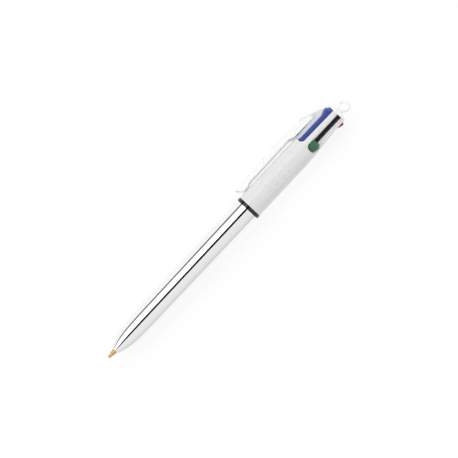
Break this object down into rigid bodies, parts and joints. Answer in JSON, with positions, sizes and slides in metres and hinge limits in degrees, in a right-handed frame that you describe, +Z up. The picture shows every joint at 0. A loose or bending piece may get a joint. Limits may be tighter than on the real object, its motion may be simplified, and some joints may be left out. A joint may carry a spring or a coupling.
{
  "type": "multicolor click pen",
  "caption": "Click pen with colour-coded thumb sliders in a slotted white barrel, a pocket clip, a lanyard ring and a silver screw-on lower barrel",
  "frame": {"origin": "middle of the underside of the pen's bounding box, as it lies on its collar ring and the lower edge of its clip", "axes": "+X along the pen towards the writing point, +Z up, the clip to the side of -Y and a little down"},
  "size_m": [0.1498, 0.016, 0.0117],
  "materials": {
    "white_plastic": "smooth gloss, moulded",
    "silver_plating": "bright plating over plastic",
    "black_ring_plastic": "high gloss",
    "dark_inner_plastic": "matte",
    "guide_plastic": "matte natural",
    "blue_plastic": "satin gloss",
    "green_plastic": "satin gloss",
    "red_plastic": "satin gloss",
    "black_plastic": "satin gloss",
    "blue_tube": "translucent, full of ink",
    "green_tube": "translucent, full of ink",
    "red_tube": "translucent, full of ink",
    "black_tube": "translucent, full of ink",
    "point_brass": "turned",
    "spring_steel": "drawn wire",
    "ball_carbide": "ground"
  },
  "bodies": {
    "upper_barrel": {"upper_barrel": "white_plastic", "end_cap": "white_plastic", "core_post": "dark_inner_plastic", "spring_guide": "guide_plastic", "blue_spring": "spring_steel", "green_spring": "spring_steel", "red_spring": "spring_steel", "black_spring": "spring_steel"},
    "clip": {"pocket_clip": "white_plastic"},
    "collar": {"collar_ring": "black_ring_plastic"},
    "lower_barrel": {"lower_barrel": "silver_plating"},
    "blue_slider": {"blue_slider": "blue_plastic"},
    "blue_refill": {"blue_refill_tube": "blue_tube", "blue_refill_point": "point_brass"},
    "blue_ball": {"blue_point_ball": "ball_carbide"},
    "green_slider": {"green_slider": "green_plastic"},
    "green_refill": {"green_refill_tube": "green_tube", "green_refill_point": "point_brass"},
    "green_ball": {"green_point_ball": "ball_carbide"},
    "red_slider": {"red_slider": "red_plastic"},
    "red_refill": {"red_refill_tube": "red_tube", "red_refill_point": "point_brass"},
    "red_ball": {"red_point_ball": "ball_carbide"},
    "black_slider": {"black_slider": "black_plastic"},
    "black_refill": {"black_refill_tube": "black_tube", "black_refill_point": "point_brass"},
    "black_ball": {"black_point_ball": "ball_carbide"}
  },
  "joints": [
    {"name": "clip_flex", "type": "hinge", "parent": "upper_barrel", "child": "clip", "pos_m": [-0.04533, -0.00742, 0.00185], "axis": [0, 0.3839, -0.9234], "range_deg": [0, 5], "stiffness_Nm_per_rad": 1.35},
    {"name": "collar_slide", "type": "slide", "parent": "upper_barrel", "child": "collar", "axis": [1, 0, 0], "range_m": [0, 0.0055]},
    {"name": "lower_barrel_turn", "type": "hinge", "parent": "collar", "child": "lower_barrel", "pos_m": [-0.01173, 0.00218, 0.00584], "axis": [1, 0, 0], "range_deg": [0, 990.01]},
    {"name": "blue_slide", "type": "slide", "parent": "upper_barrel", "child": "blue_slider", "axis": [1, 0, 0], "range_m": [0, 0.0145], "stiffness_N_per_m": 150, "springref_m": -0.01, "deforming": ["blue_spring", "blue_refill_tube", "blue_refill_point", "blue_point_ball"]},
    {"name": "blue_refill_lean", "type": "hinge", "parent": "blue_slider", "child": "blue_refill", "pos_m": [-0.04339, -0.00026, 0.00685], "axis": [0, 0.3814, 0.9244], "range_deg": [0, 1.58]},
    {"name": "blue_ball_roll", "type": "hinge", "parent": "blue_refill", "child": "blue_ball", "pos_m": [0.05997, -0.00026, 0.00685], "axis": [0, 0.3814, 0.9244], "continuous": true},
    {"name": "green_slide", "type": "slide", "parent": "upper_barrel", "child": "green_slider", "axis": [1, 0, 0], "range_m": [-0.0145, 0], "deforming": ["green_spring"]},
    {"name": "green_refill_lean", "type": "hinge", "parent": "green_slider", "child": "green_refill", "pos_m": [-0.02889, 0.0032, 0.00829], "axis": [0, 0.9244, -0.3814], "range_deg": [-1.58, 0]},
    {"name": "green_ball_roll", "type": "hinge", "parent": "green_refill", "child": "green_ball", "pos_m": [0.07443, 0.00211, 0.00566], "axis": [0, 0.9244, -0.3814], "continuous": true},
    {"name": "red_slide", "type": "slide", "parent": "upper_barrel", "child": "red_slider", "axis": [1, 0, 0], "range_m": [0, 0.0145], "stiffness_N_per_m": 150, "springref_m": -0.01, "deforming": ["red_spring", "red_refill_tube", "red_refill_point", "red_point_ball"]},
    {"name": "red_refill_lean", "type": "hinge", "parent": "red_slider", "child": "red_refill", "pos_m": [-0.04339, 0.00463, 0.00483], "axis": [0, -0.3814, -0.9244], "range_deg": [0, 1.58]},
    {"name": "red_ball_roll", "type": "hinge", "parent": "red_refill", "child": "red_ball", "pos_m": [0.05997, 0.00463, 0.00483], "axis": [0, -0.3814, -0.9244], "continuous": true},
    {"name": "black_slide", "type": "slide", "parent": "upper_barrel", "child": "black_slider", "axis": [1, 0, 0], "range_m": [0, 0.0145], "stiffness_N_per_m": 150, "springref_m": -0.01, "deforming": ["black_spring", "black_refill_tube", "black_refill_point", "black_point_ball"]},
    {"name": "black_refill_lean", "type": "hinge", "parent": "black_slider", "child": "black_refill", "pos_m": [-0.04339, 0.00117, 0.00339], "axis": [0, -0.9244, 0.3814], "range_deg": [0, 1.58]},
    {"name": "black_ball_roll", "type": "hinge", "parent": "black_refill", "child": "black_ball", "pos_m": [0.05997, 0.00117, 0.00339], "axis": [0, -0.9244, 0.3814], "continuous": true}
  ],
  "couplings": [
    {"joint": "lower_barrel_turn", "follows": "collar_slide", "rad_per_m": 3141.6},
    {"joint": "blue_refill_lean", "follows": "blue_slide", "rad_per_m": 1.8975},
    {"joint": "green_refill_lean", "follows": "green_slide", "rad_per_m": 1.8975},
    {"joint": "red_refill_lean", "follows": "red_slide", "rad_per_m": 1.8975},
    {"joint": "black_refill_lean", "follows": "black_slide", "rad_per_m": 1.8975}
  ]
}
